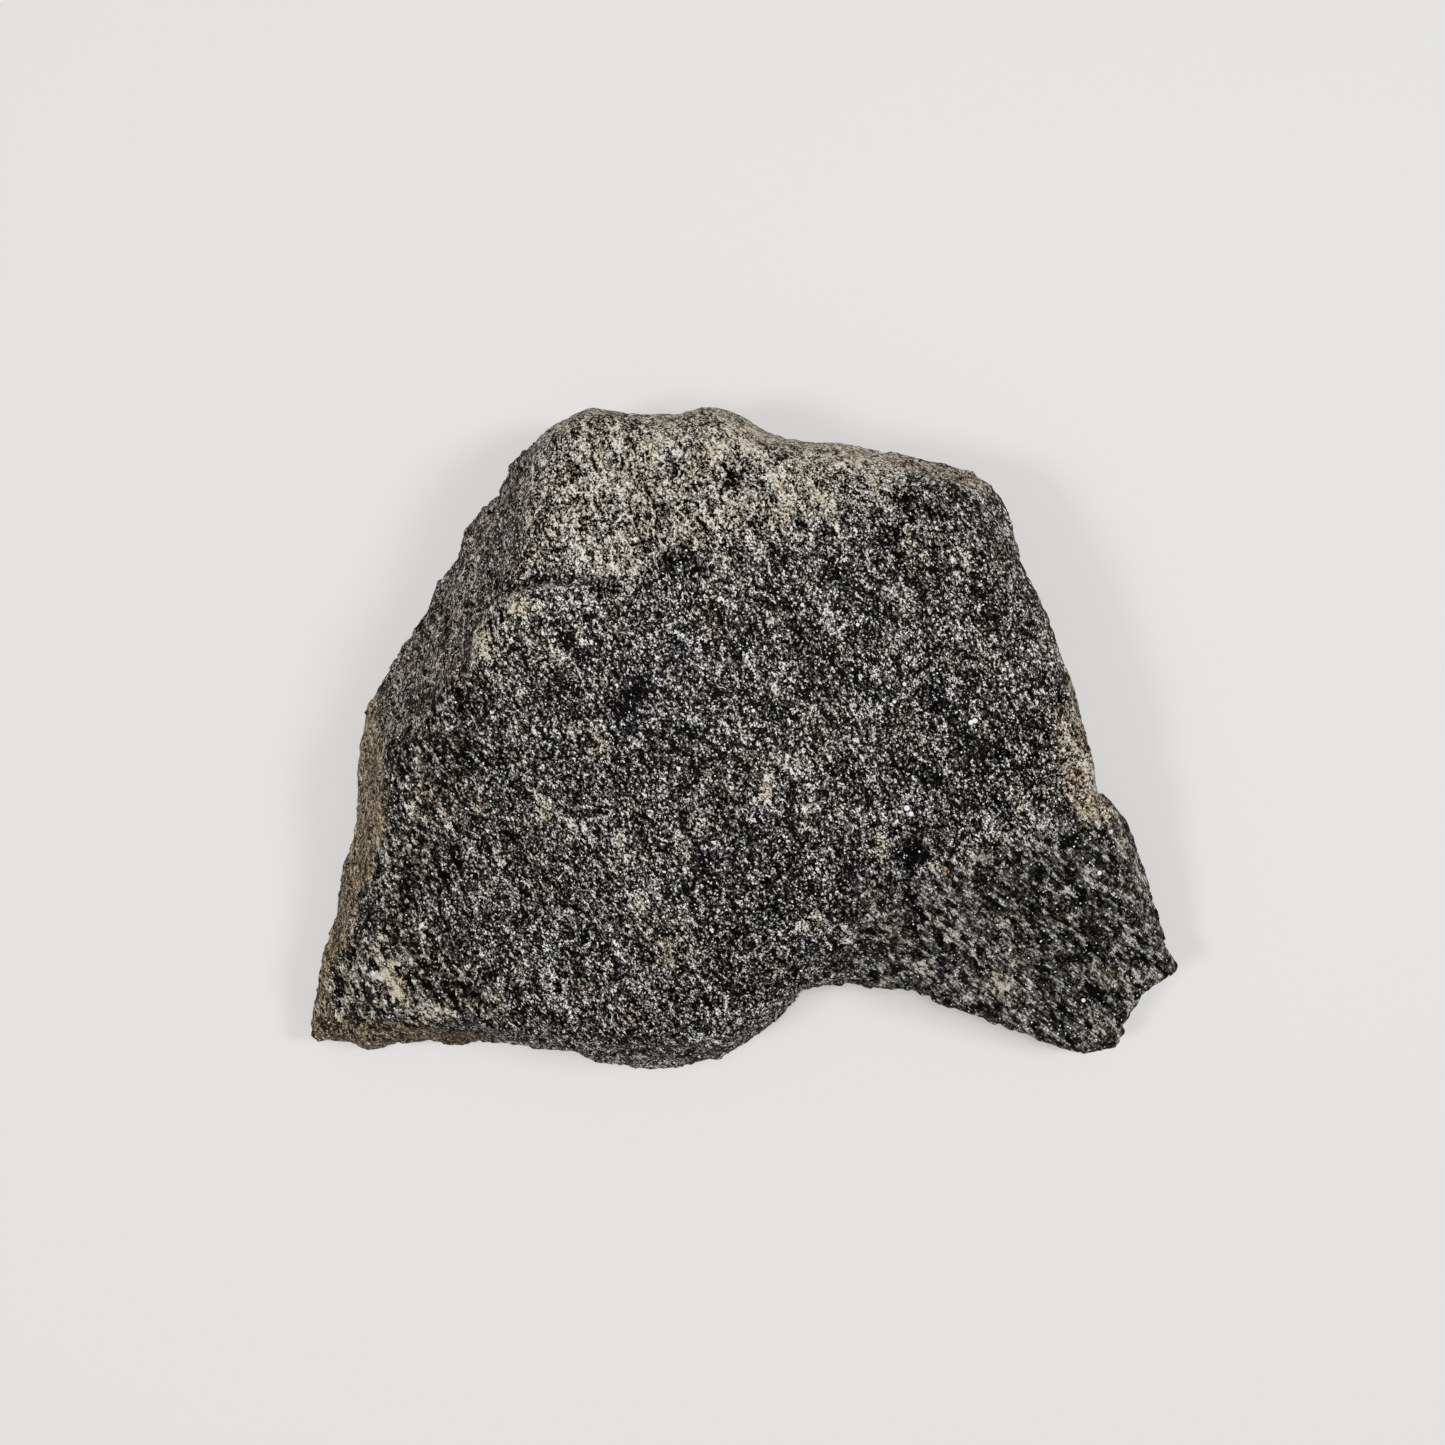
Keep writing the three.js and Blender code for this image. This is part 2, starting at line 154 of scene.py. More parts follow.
# Clots of one mineral, in mm from above: x, y, length, width, heading in
# degrees from +X, strength.
FELDSPAR_CLOTS = [
    # Behind and on the nose.
    (-18.8, 35.1, 3.4, 2.6, 60, 1.0), (-30.5, 10.8, 4.6, 3.2, 70, 1.3), (-26.0, 15.6, 5.0, 2.2, -20, 1.2),
    (-29.0, 7.0, 3.4, 2.4, -60, 0.8), (-22.3, 9.8, 3.2, 2.0, -60, 0.9), (-20.5, 14.0, 3.0, 1.8, -40, 0.8), (-32.4, 8.5, 5.0, 0.8, 84, 0.7), (-24.5, 12.0, 2.4, 1.6, -60, 0.6),
    # Across the middle.
    (-17.1, -0.6, 3.8, 2.8, 20, 1.2), (-19.8, 1.2, 2.6, 2.2, 0, 0.7), (-24.0, -7.9, 1.8, 3.4, 10, 1.0),
    (-21.2, -10.6, 3.3, 2.0, -40, 1.1), (2.5, -6.8, 4.8, 1.8, 80, 1.25), (4.3, -3.4, 6.0, 2.4, 10, 0.6),
    (-1.5, -3.2, 4.0, 2.4, 30, 0.35), (-4.5, -1.0, 4.0, 2.0, -60, 0.25), (-6.5, -13.1, 2.8, 1.6, -60, 0.7),
    (-12.5, -21.1, 5.0, 4.0, -60, 0.55), (-9.2, -25.6, 2.0, 4.6, 10, 1.4), (-25.1, -26.6, 3.0, 2.4, 0, 0.6),
    (6.8, 2.5, 6.0, 3.5, -60, 0.35), (12.2, -24.6, 5.0, 4.0, 0, 0.35), (-14.0, -13.5, 4.0, 2.2, -60, 0.5), (0.5, -21.0, 3.4, 1.6, -70, 0.5), (-2.0, -25.0, 3.0, 2.0, -60, 0.5),
    # Left, beside the stained joint face.
    (-41.0, -8.1, 2.0, 1.6, -60, 1.0), (-39.1, -6.8, 2.4, 2.0, -60, 1.2), (-33.0, -9.0, 2.0, 1.4, 0, 0.6),
    (-41.2, -22.1, 2.0, 1.4, -50, 0.8), (-39.8, -24.5, 2.4, 1.2, -60, 0.7), (-33.6, -20.5, 3.2, 2.0, 20, 0.5),
    (-26.0, -17.5, 2.8, 1.6, -60, 0.45), (-30.5, -14.0, 3.4, 1.4, -60, 0.45), (-44.5, -17.5, 2.6, 1.6, 80, 0.6),
    # The near left corner, with one clean pale streak.
    (-43.4, -31.2, 5.2, 1.7, -66, 2.3), (-41.9, -33.4, 2.6, 1.2, -50, 1.2), (-47.2, -27.3, 5.0, 1.5, -60, 1.6),
    (-50.3, -29.6, 3.0, 2.0, 0, 0.8), (-37.8, -34.6, 3.6, 1.8, -30, 0.9), (-35.2, -34.0, 2.8, 1.5, -50, 0.8),
    (-46.0, -33.6, 3.8, 1.8, -20, 0.9), (-50.0, -32.6, 3.0, 1.8, -40, 0.8), (-45.0, -27.6, 2.4, 1.6, -60, 0.8),
    # Right of the middle, and the thin end.
    (17.1, -12.2, 3.8, 2.0, 75, 1.0), (7.5, -22.6, 3.1, 1.4, 30, 1.15), (22.5, -15.7, 2.8, 1.8, 0, 0.7),
    (29.7, -15.1, 2.6, 2.2, 0, 0.8), (33.2, -31.5, 6.0, 2.2, -58, 1.05), (35.1, -28.0, 3.4, 2.6, -60, 0.6),
    (47.5, -13.3, 4.6, 2.0, -62, 1.0), (43.0, -8.8, 3.2, 2.8, 0, 0.75), (27.0, -10.0, 2.8, 1.8, -60, 0.6),
    (35.8, -10.2, 3.4, 2.2, 45, 0.6), (44.5, -18.0, 2.4, 1.8, 0, 0.6), (22.5, -29.0, 4.0, 2.0, -60, 0.5),
    (16.5, 10.2, 2.8, 2.0, 80, 0.7), (11.5, 12.5, 3.8, 1.7, -60, 0.6), (36.5, 10.5, 3.6, 2.8, 60, 0.8),
    (29.0, 11.5, 4.0, 1.8, -60, 0.5), (20.0, 17.0, 4.0, 2.0, -60, 0.45), (-2.5, 17.0, 3.6, 2.0, -60, 0.5),
    (-9.5, -24.5, 7.0, 7.0, 0, 0.26), (46.5, -14.5, 6.0, 6.0, 0, 0.16), (29.9, -31.0, 6.0, 5.0, 0, 0.16),
    (7.0, -31.0, 5.0, 4.0, 0, 0.16), (-49.0, -25.6, 4.0, 4.0, 0, 0.20),
    # The pale slope.
    (3.0, 33.0, 3.4, 2.0, -60, 0.5), (8.5, 33.5, 3.8, 2.6, -40, 0.5), (14.0, 33.6, 5.0, 1.8, -10, 0.5),
    (4.9, 28.4, 9.0, 1.8, -76, 0.9), (10.4, 27.6, 7.5, 1.6, -78, 0.9), (8.0, 29.5, 9.0, 7.0, 0, 0.5),
    (12.5, 34.8, 9.0, 4.0, -10, 0.45), (6.8, 23.5, 5.0, 3.6, -60, 0.4), (15.5, 24.0, 6.0, 3.0, -60, 0.3), (-10.0, 37.0, 6.0, 2.6, 0, 0.4),
    (-2.0, 36.0, 9.0, 5.0, 20, 0.75), (-25.5, 29.5, 4.0, 5.0, 0, 0.45), (23.0, 24.0, 5.0, 4.0, 0, 0.35), (15.5, 31.0, 4.5, 1.4, -60, 0.6), (21.0, 30.5, 4.0, 1.6, -50, 0.5),
]
MICA_CLOTS = [
    (1.4, -20.5, 14.0, 8.0, 80, 0.34), (18.0, -13.5, 11.0, 8.0, 10, 0.28), (28.0, -8.0, 9.0, 8.0, 0, 0.26),
    (-31.0, 8.0, 8.0, 6.0, 60, 0.34), (-23.0, 4.0, 9.0, 7.0, -20, 0.34), (-20.5, 35.5, 5.0, 4.0, 0, 0.50),
    (23.0, 18.5, 6.0, 5.0, 0, 0.30), (23.0, -3.0, 8.0, 5.0, 0, 0.22), (-38.0, -3.0, 8.0, 5.0, -60, 0.25),
    (-8.0, 27.5, 8.0, 3.0, 0, 0.30), (-20.0, -6.0, 6.0, 3.4, 20, 0.35), (-27.0, -7.5, 4.0, 3.0, 0, 0.3),
    (-9.5, -8.0, 8.0, 5.0, -60, 0.25), (-37.0, -24.0, 6.0, 5.0, -60, 0.3), (1.5, -31.0, 7.0, 5.0, 0, 0.4),
    (27.5, 16.5, 8.0, 9.0, 0, 0.25), (-15.0, -35.5, 14.0, 4.5, 0, 0.14), (-4.0, -26.0, 12.0, 12.0, 0, 0.26),
    (45.5, -24.5, 7.0, 5.0, -60, 0.25), (46.5, -34.0, 6.0, 5.0, 0, 0.25), (42.5, -9.0, 5.0, 3.0, -60, 0.35),
    (-14.0, 4.6, 4.2, 2.4, -50, 1.15), (-12.0, 5.6, 2.4, 1.8, 0, 1.2), (20.9, -13.5, 4.2, 2.9, 80, 1.35), (-5.3, -15.5, 7.0, 4.0, -75, 0.5),
    (28.7, -1.2, 6.0, 4.5, -40, 0.5), (-34.0, -1.0, 5.0, 4.0, -60, 0.4), (-42.5, -30.5, 5.0, 1.2, -63, 0.8),
    (-27.5, -33.0, 7.0, 3.0, -60, 0.35), (24.0, 4.0, 7.0, 3.0, -60, 0.4), (17.5, 23.0, 7.0, 3.0, -60, 0.4),
    (-2.0, 31.0, 3.6, 2.0, -60, 0.6), (2.4, 29.5, 6.0, 1.1, -78, 0.7), (-8.0, 21.0, 6.0, 2.0, -20, 0.4),
    (12.0, -27.0, 6.0, 3.0, -60, 0.4), (8.0, 9.0, 6.0, 3.0, -60, 0.35), (-19.0, 9.0, 4.0, 2.4, -60, 0.4),
    (40.0, -24.0, 7.0, 2.4, -60, 0.4), (-36.0, -16.0, 5.0, 3.0, -40, 0.35), (0.0, -9.5, 5.0, 2.5, -70, 0.35),
    (-23.9, 12.0, 8.0, 8.0, 0, 0.22), (-20.0, -3.5, 6.0, 9.0, 0, 0.26), (-5.0, -3.5, 7.0, 6.0, 0, 0.24),
    (34.5, 0.5, 6.0, 17.0, 0, 0.26), (-25.5, -13.0, 6.0, 5.0, 0, 0.24), (12.5, -8.5, 7.0, 6.0, 0, 0.20),
]
RUST_SPOTS = [
    (24.7, -15.7, 2.0, 1.4, 0, 1.0), (40.2, -4.6, 3.0, 1.8, 30, 0.8), (41.5, 1.0, 2.6, 1.2, 80, 0.4),
    (36.9, 10.3, 1.4, 1.2, 0, 0.3), (-32.2, -8.3, 2.0, 1.6, 0, 0.9), (-36.0, -9.5, 2.6, 2.0, 0, 0.5),
    (-4.3, -17.4, 1.2, 2.6, 0, 0.7), (-3.4, -19.8, 1.4, 1.2, 0, 0.8), (-0.7, -29.4, 1.4, 1.2, 0, 0.7),
    (-18.9, -30.2, 2.4, 2.0, 0, 0.5), (-13.9, -33.7, 2.6, 2.2, 0, 0.8), (-4.7, 13.7, 3.0, 4.0, 0, 0.5),
    (12.0, 35.0, 6.0, 2.0, -10, 0.15), (23.0, 28.0, 3.0, 2.0, 0, 0.35),
]

count = len(stone.data.vertices)
flat = np.empty(count * 3)
stone.data.vertices.foreach_get("co", flat)
spots = flat.reshape(count, 3) / MM
stone.data.vertices.foreach_get("normal", flat)
facing_up = flat.reshape(count, 3)[:, 2].copy()

# Outlines of zones and clots wander by this much, so that none is a clean line,
# and a ragged zone's by that many times more. The fixed seed keeps it the same
# each time: without one, the noise follows the clock.
WANDER_REACH = 1.1
WANDER_SIZE = 3.5
WANDER_SEED = 6
noise.seed_set(WANDER_SEED)
wander = np.array([noise.noise_vector(Vector(p) / WANDER_SIZE) for p in spots])
wander += 0.5 * np.array([noise.noise_vector(Vector(p) / (WANDER_SIZE * 0.4)) for p in spots])
seen = spots[:, :2] + WANDER_REACH * wander[:, :2]


def inside(outline, soft, ragged=1.0):
    """How far each vertex is inside an outline: 0 outside, 1 inside, soft at the edge."""
    corners = np.array(outline, dtype=float)
    seen = spots[:, :2] + ragged * WANDER_REACH * wander[:, :2]
    nearest = np.full(count, 1e9)
    within = np.zeros(count, dtype=bool)
    for a, b in zip(corners, np.roll(corners, -1, axis=0)):
        along = np.clip(((seen - a) @ (b - a)) / ((b - a) @ (b - a)), 0, 1)
        nearest = np.minimum(nearest, np.linalg.norm(seen - a - along[:, None] * (b - a), axis=1))
        crosses = (a[1] > seen[:, 1]) != (b[1] > seen[:, 1])
        with np.errstate(divide="ignore", invalid="ignore"):
            at = (b[0] - a[0]) * (seen[:, 1] - a[1]) / (b[1] - a[1]) + a[0]
        within ^= crosses & (seen[:, 0] < at)
    depth = np.clip(0.5 + np.where(within, nearest, -nearest) / (2 * soft), 0, 1)
    return depth * depth * (3 - 2 * depth)


def clots(marks):
    """The strength of a list of clots at each vertex, on the upper side alone."""
    total = np.zeros(count)
    for x, y, length, width, heading, strength in marks:
        turn = math.radians(heading)
        off = seen - (x, y)
        u = (off[:, 0] * math.cos(turn) + off[:, 1] * math.sin(turn)) / (length / 2)
        w = (off[:, 1] * math.cos(turn) - off[:, 0] * math.sin(turn)) / (width / 2)
        total = np.maximum(total, strength * np.exp(-(u * u + w * w) ** 1.3 * 0.7))
    return total * (facing_up > 0)


def keep(name, values):
    """Stores one number for each vertex, for the material and the relief to read."""
    stone.data.attributes.new(name, "FLOAT", "POINT").data.foreach_set("value", values.astype(np.float32))


zone = {name: inside(**z) for name, z in ZONES.items()}
underside = np.clip(0.5 - facing_up * 2.5, 0, 1)
upper = 1 - underside
keep("pale", upper * np.maximum(zone["pale_slope"], 0.22 * zone["back_corner"]))
zone["joint_stain"] *= zone["stain_reach"]
zone["front_stain"] *= zone["front_reach"]
keep("stain", np.clip(zone["joint_stain"] + zone["front_stain"], 0, 1))
# Painted shade on the front strip, which is turned away from the light; the joint face is also made a little darker
# towards its foot.
keep("front_shade_and_dark_foot", np.maximum(zone["front_stain"], 0.35 * zone["joint_stain"] * zone["joint_face_foot"]))
keep("tan", upper * np.maximum(zone["tan_edge"], zone["worn_rim"]))
keep("flank", upper * zone["flank"] * (1 - zone["joint_stain"]))
keep("coarse", upper * np.maximum(zone["coarse_corner"], 0.6 * zone["beside_stain"]))
keep("thin", upper * zone["thin_end"])
keep("underside", underside)
keep("feldspar", clots(FELDSPAR_CLOTS))
keep("mica", clots(MICA_CLOTS))
keep("rust", clots(RUST_SPOTS))

# Arrises where the break stepped from one level to another: a raised lip, and a
# crease along its foot. The colour is lightened along each lip as a painted highlight
# and darkened in its crease as painted shade. Drawn with the high side on the right;
# height, width and points are in mm.
LEDGES = [
    dict(height=0.8, width=1.7, points=[
        (-33.2, 4), (-33.3, 8), (-33, 12), (-31.8, 15), (-29.5, 17.3), (-26.5, 18.4), (-22, 18.7),
        (-17.5, 18.3), (-14.3, 16)]),
    dict(height=0.35, width=0.8, points=[(4, -27), (5.5, -23.5), (7.2, -21.9), (9.5, -23.8), (13, -28)]),
    dict(height=0.40, width=0.9, points=[(43.5, -7), (44.8, -11.5), (47.5, -16.5)]),
    dict(height=0.30, width=0.8, points=[(-52, -34.5), (-50, -29), (-47.8, -24), (-46.2, -19)]),
]
lip = np.zeros(count)
ledge_light_and_shade = np.zeros(count)
for ledge in LEDGES:
    line = np.array(ledge["points"], dtype=float)
    nearest = np.full(count, 1e9)
    side = np.zeros(count)
    way = np.zeros(count)
    for step, (a, b) in enumerate(zip(line[:-1], line[1:])):
        along = np.clip(((spots[:, :2] - a) @ (b - a)) / ((b - a) @ (b - a)), 0, 1)
        off = spots[:, :2] - a - along[:, None] * (b - a)
        away = np.linalg.norm(off, axis=1)
        closer = away < nearest
        nearest[closer] = away[closer]
        side[closer] = np.sign((b - a)[1] * off[:, 0] - (b - a)[0] * off[:, 1])[closer]
        way[closer] = (step + along[closer]) / (len(line) - 1)
    reach = side * nearest / ledge["width"]
    fade = np.clip(np.minimum(way, 1 - way) * 4, 0, 1) * (facing_up > 0)
    lip += ledge["height"] * 1.2 * reach * np.exp(-reach * reach) * fade
    # Painted highlight along the lip, painted shade in the crease at its foot.
    ledge_light_and_shade += (np.exp(-((reach - 0.4) / 0.4) ** 2) - 1.2 * np.exp(-((reach + 0.35) / 0.3) ** 2)) * fade
keep("lip", lip * MM)
keep("ledge_light_and_shade", ledge_light_and_shade)

# The break's relief, from real sizes: slow swells, chips a few grains wide whose
# flats each tilt their own way, and lumps of one or two grains.
relief = bpy.data.node_groups.new("Broken grain relief", "GeometryNodeTree")
RELIEF_SIZES = {
    "Swell size": 6.0 * MM, "Swell height": 0.75 * MM,
    "Chip size": 2.3 * MM, "Chip tilt": 0.30,
    "Small chip size": 1.15 * MM, "Small chip tilt": 0.26,
    "Flattening": 1.35, "Wear": -0.45,
}
relief.interface.new_socket("Geometry", in_out="INPUT", socket_type="NodeSocketGeometry")
for name in RELIEF_SIZES:
    relief.interface.new_socket(name, in_out="INPUT", socket_type="NodeSocketFloat")
relief.interface.new_socket("Rock", in_out="INPUT", socket_type="NodeSocketMaterial")
relief.interface.new_socket("Geometry", in_out="OUTPUT", socket_type="NodeSocketGeometry")
given = add(relief, "NodeGroupInput").outputs
placed = add(relief, "GeometryNodeInputPosition").outputs[0]
in_fabric = add(relief, "ShaderNodeVectorRotate", {"Vector": placed, "Rotation": FABRIC_TURN},
                rotation_type="EULER_XYZ", invert=True).outputs[0]
flatten = add(relief, "ShaderNodeCombineXYZ", {"X": 0.85, "Y": 1.0, "Z": given["Flattening"]}).outputs[0]
fabric = add(relief, "ShaderNodeVectorMath", {0: in_fabric, 1: flatten}, operation="MULTIPLY").outputs[0]


def reckon(tree, operation, a, b=0.0, c=0.0):
    """The result of one sum, on values or sockets."""
    return add(tree, "ShaderNodeMath", {0: a, 1: b, 2: c}, operation=operation).outputs[0]


def per_size(size):
    """The relief's coordinates, counted in steps of that size."""
    return add(relief, "ShaderNodeVectorMath", {0: fabric, "Scale": reckon(relief, "DIVIDE", 1.0, size)},
               operation="SCALE").outputs[0]


def chip_height(size, tilt):
    """Cells whose flats each tilt at random about their own middle."""
    at = per_size(size)
    ragged = add(relief, "ShaderNodeTexNoise", {"Vector": at, "Scale": 1.6, "Detail": 1.0}).outputs["Color"]
    at = add(relief, "ShaderNodeVectorMath", {0: ragged, 1: (0.5, 0.5, 0.5), 2: at},
             operation="MULTIPLY_ADD").outputs[0]
    cell = add(relief, "ShaderNodeTexVoronoi", {"Vector": at, "Scale": 1.0}, feature="F1").outputs
    from_middle = add(relief, "ShaderNodeVectorMath", {0: at, 1: cell["Position"]}, operation="SUBTRACT").outputs[0]
    lean = add(relief, "ShaderNodeVectorMath", {0: cell["Color"], 1: (0.5, 0.5, 0.5)}, operation="SUBTRACT").outputs[0]
    rise = add(relief, "ShaderNodeVectorMath", {0: from_middle, 1: lean}, operation="DOT_PRODUCT").outputs["Value"]
    return reckon(relief, "MULTIPLY", reckon(relief, "MULTIPLY", rise, tilt), size)


swells = add(relief, "ShaderNodeTexNoise",
             {"Vector": per_size(given["Swell size"]), "Scale": 1.0, "Detail": 4.0, "Roughness": 0.6}).outputs[0]
height = reckon(relief, "MULTIPLY", reckon(relief, "SUBTRACT", swells, 0.5), given["Swell height"])
height = reckon(relief, "ADD", height, chip_height(given["Chip size"], given["Chip tilt"]))
height = reckon(relief, "ADD", height, chip_height(given["Small chip size"], given["Small chip tilt"]))
# Weathering has worn the pale skin smoother.
worn = add(relief, "GeometryNodeInputNamedAttribute", {"Name": "pale"}, data_type="FLOAT").outputs[0]
height = reckon(relief, "MULTIPLY", height, reckon(relief, "MULTIPLY_ADD", worn, given["Wear"], 1.0))
ledges = add(relief, "GeometryNodeInputNamedAttribute", {"Name": "lip"}, data_type="FLOAT").outputs[0]
height = reckon(relief, "ADD", height, ledges)
normal = add(relief, "GeometryNodeInputNormal").outputs[0]
shift = add(relief, "ShaderNodeVectorMath", {0: normal, "Scale": height}, operation="SCALE").outputs[0]
raised = add(relief, "GeometryNodeSetPosition", {"Geometry": given["Geometry"], "Offset": shift}).outputs[0]
# Nothing goes below what the stone rests on.
moved = add(relief, "GeometryNodeInputPosition").outputs[0]
above_table = add(relief, "ShaderNodeVectorMath", {0: moved, 1: (-1.0, -1.0, 0.0)}, operation="MAXIMUM").outputs[0]
rested = add(relief, "GeometryNodeSetPosition", {"Geometry": raised, "Position": above_table}).outputs[0]
real = add(relief, "GeometryNodeRealizeInstances", {"Geometry": rested}).outputs[0]
done = add(relief, "GeometryNodeSetMaterial", {"Geometry": real, "Material": given["Rock"]}).outputs[0]
add(relief, "NodeGroupOutput", {"Geometry": done})

# Biotite gneiss: a dull, granular break. Black mica grains read as holes between
# grey quartz and white feldspar; weathered skin is paler or browner and flatter.
rock = bpy.data.materials.new("biotite_gneiss_broken")
rock.use_nodes = True
tree = rock.node_tree
tree.nodes.clear()
here = add(tree, "ShaderNodeTexCoord").outputs["Object"]


def fabric_space(size, flattening):
    """Object coordinates turned to the foliation, counted in grains of that size."""
    return add(tree, "ShaderNodeMapping",
               {"Vector": here, "Rotation": FABRIC_TURN, "Scale": (size * 1.05, size, size / flattening)},
               vector_type="TEXTURE").outputs[0]


def kept(name):
    """One of the stone's stored zones or clots."""
    return add(tree, "ShaderNodeAttribute", attribute_name=name).outputs["Fac"]


def cloud(size, flattening, detail, roughness):
    """Soft patches of about that size."""
    return add(tree, "ShaderNodeTexNoise",
               {"Vector": fabric_space(size, flattening), "Scale": 1.0, "Detail": detail,
                "Roughness": roughness}).outputs


# Half the grains are 0.3 to 0.5 mm across, and the rest up to twice that.
GRAIN = 0.29 * MM
GRAIN_FLATTENING = 1.15
ragged = add(tree, "ShaderNodeVectorMath",
             {0: cloud(GRAIN, 1.0, 1.0, 0.5)["Color"], 1: (0.5, 0.5, 0.5)}, operation="SUBTRACT").outputs[0]
ragged = add(tree, "ShaderNodeVectorMath", {0: ragged, "Scale": 0.8}, operation="SCALE").outputs[0]


def grains(size):
    """A lot drawn for each grain, and the distance from its middle; outlines are ragged."""
    at = add(tree, "ShaderNodeVectorMath",
             {0: fabric_space(size, GRAIN_FLATTENING), 1: ragged}, operation="ADD").outputs[0]
    cell = add(tree, "ShaderNodeTexVoronoi", {"Vector": at, "Scale": 1.0}, feature="F1").outputs
    return add(tree, "ShaderNodeSeparateColor", {0: cell["Color"]}).outputs, cell["Distance"]


def centred(value, weight, onto=0.5):
    """Adds a 0 to 1 value, swung about its middle by weight."""
    return reckon(tree, "MULTIPLY_ADD", reckon(tree, "SUBTRACT", value, 0.5), weight, onto)


small, small_away = grains(GRAIN)
large, large_away = grains(GRAIN * 2.1)
finest, finest_away = grains(GRAIN * 0.62)
# On the thin end and in the coarse corner the fine grains show less than the large.
fineness = reckon(tree, "MULTIPLY_ADD", kept("thin"), -0.50, 1.0)
fineness = reckon(tree, "MULTIPLY_ADD", kept("coarse"), -0.35, fineness)
lot = centred(small[0], reckon(tree, "MULTIPLY", fineness, 0.62))
lot = centred(finest[0], reckon(tree, "MULTIPLY", fineness, 0.54), lot)
lot = centred(large[0], reckon(tree, "MULTIPLY_ADD", kept("coarse"), 0.28, 0.36), lot)
lot = centred(cloud(1.9 * MM, 4.2, 2.0, 0.55)[0], 0.54, lot)
patches = cloud(6.5 * MM, 2.8, 3.0, 0.55)[0]
lot = centred(patches, 0.50, lot)
# Mica gathers in ragged lenses, a few mm long, that look black.
lenses = add(tree, "ShaderNodeMapRange", {
    "Value": cloud(2.6 * MM, 3.4, 3.0, 0.6)[0], "From Min": 0.34, "From Max": 0.46,
    "To Min": -0.26, "To Max": 0.0}).outputs[0]
lot = reckon(tree, "ADD", lot, lenses)
# On the thin end the break runs along the grains, which lie in shallow furrows.
furrow_space = add(tree, "ShaderNodeMapping", {
    "Vector": here, "Rotation": (0.0, 0.0, math.radians(-40)), "Scale": (3.2 * MM, 0.55 * MM, 1.2 * MM)},
    vector_type="TEXTURE").outputs[0]
furrows = add(tree, "ShaderNodeTexNoise",
              {"Vector": furrow_space, "Scale": 1.0, "Detail": 2.0, "Roughness": 0.5}).outputs[0]
furrows = centred(furrows, 0.8, 0.0)
fine_furrow_space = add(tree, "ShaderNodeMapping", {
    "Vector": here, "Rotation": (0.0, 0.0, math.radians(-38)), "Scale": (1.3 * MM, 0.3 * MM, 0.6 * MM)},
    vector_type="TEXTURE").outputs[0]
fine_furrows = add(tree, "ShaderNodeTexNoise",
                   {"Vector": fine_furrow_space, "Scale": 1.0, "Detail": 1.0, "Roughness": 0.5}).outputs[0]
lot = reckon(tree, "MULTIPLY_ADD", centred(fine_furrows, 0.8, furrows), kept("thin"), lot)
# Clots of one mineral, and the zones, shift the lots of the grains within them.
# The ledge entry is painted light and shade: it lightens each lip as a painted
# highlight and darkens its crease as painted shade. The front and foot entry
# darkens the front strip as painted shade.
SHIFTS = {
    "feldspar": 0.24, "mica": -0.28, "pale": 0.05, "tan": 0.06, "front_shade_and_dark_foot": -0.14, "ledge_light_and_shade": 0.13,
    "coarse": -0.07, "thin": 0.04}
for name, pull in SHIFTS.items():
    lot = reckon(tree, "MULTIPLY_ADD", kept(name), pull, lot)
# Clots several grains wide are one mineral, above all in the coarse corner and on the thin end.
clump_at = add(tree, "ShaderNodeVectorMath", {0: fabric_space(1.5 * MM, 2.0), 1: ragged}, operation="ADD").outputs[0]
clumps = add(tree, "ShaderNodeTexVoronoi", {"Vector": clump_at, "Scale": 1.0}, feature="F1").outputs["Color"]
clump = add(tree, "ShaderNodeSeparateColor", {0: clumps}).outputs[0]
clump_weight = reckon(tree, "MULTIPLY_ADD", kept("coarse"), 0.40, 0.10)
clump_weight = reckon(tree, "MULTIPLY_ADD", kept("thin"), 0.30, clump_weight)
clump_weight = reckon(tree, "MULTIPLY_ADD", kept("pale"), 0.14, clump_weight)
lot = centred(clump, clump_weight, lot)


def sharpen(value, times):
    """A 0 to 1 value with its middle made that many times steeper."""
    return add(tree, "ShaderNodeClamp",
               {"Value": reckon(tree, "MULTIPLY_ADD", value, times, 0.5 - 0.5 * times)}).outputs[0]


# What the grains look like on each kind of face, from mica to the palest feldspar.
TONE_STEPS = (0.23, 0.405, 0.572, 0.75, 0.95)
FINISHES = {
    "fresh": ("#000000", "#0c0b0a", "#3e3b38", "#8a8885", "#f2f3f2"),
    "thin": ("#040404", "#171716", "#403f3c", "#767571", "#cdcdc9"),
    "flank": ("#030201", "#1f1a16", "#5d5751", "#9c968f", "#e2ded9"),
    "pale": ("#010100", "#1c1712", "#827c74", "#c5c1b9", "#f3f1eb"),
    "coarse": ("#040302", "#1f1c17", "#55514a", "#959189", "#dddbd3"),
    "tan": ("#0b0906", "#362d23", "#8b8272", "#c0b8aa", "#e8e2d6"),
    "stain": ("#261d15", "#594c3d", "#8d7f6a", "#b1a18a", "#d8ccb9"),
    "underside": ("#15120f", "#36312b", "#5f5a52", "#8b867e", "#bdb9b1"),
}
surface = None
for name, tones in FINISHES.items():
    ramp = add(tree, "ShaderNodeValToRGB", {"Fac": lot})
    stops = ramp.color_ramp.elements
    while len(stops) < len(TONE_STEPS):
        stops.new(0.5)
    for stop, place, tone in zip(stops, TONE_STEPS, tones):
        stop.position = place
        stop.color = linear(tone)
    if surface is None:
        surface = ramp.outputs["Color"]
        continue
    # One face gives way to the next grain by grain.
    share = sharpen(centred(large[1], 0.5, centred(patches, 0.9, kept(name))), 2.6)
    surface = add(tree, "ShaderNodeMix", {0: share, 6: surface, 7: ramp.outputs["Color"]},
                  data_type="RGBA").outputs[2]

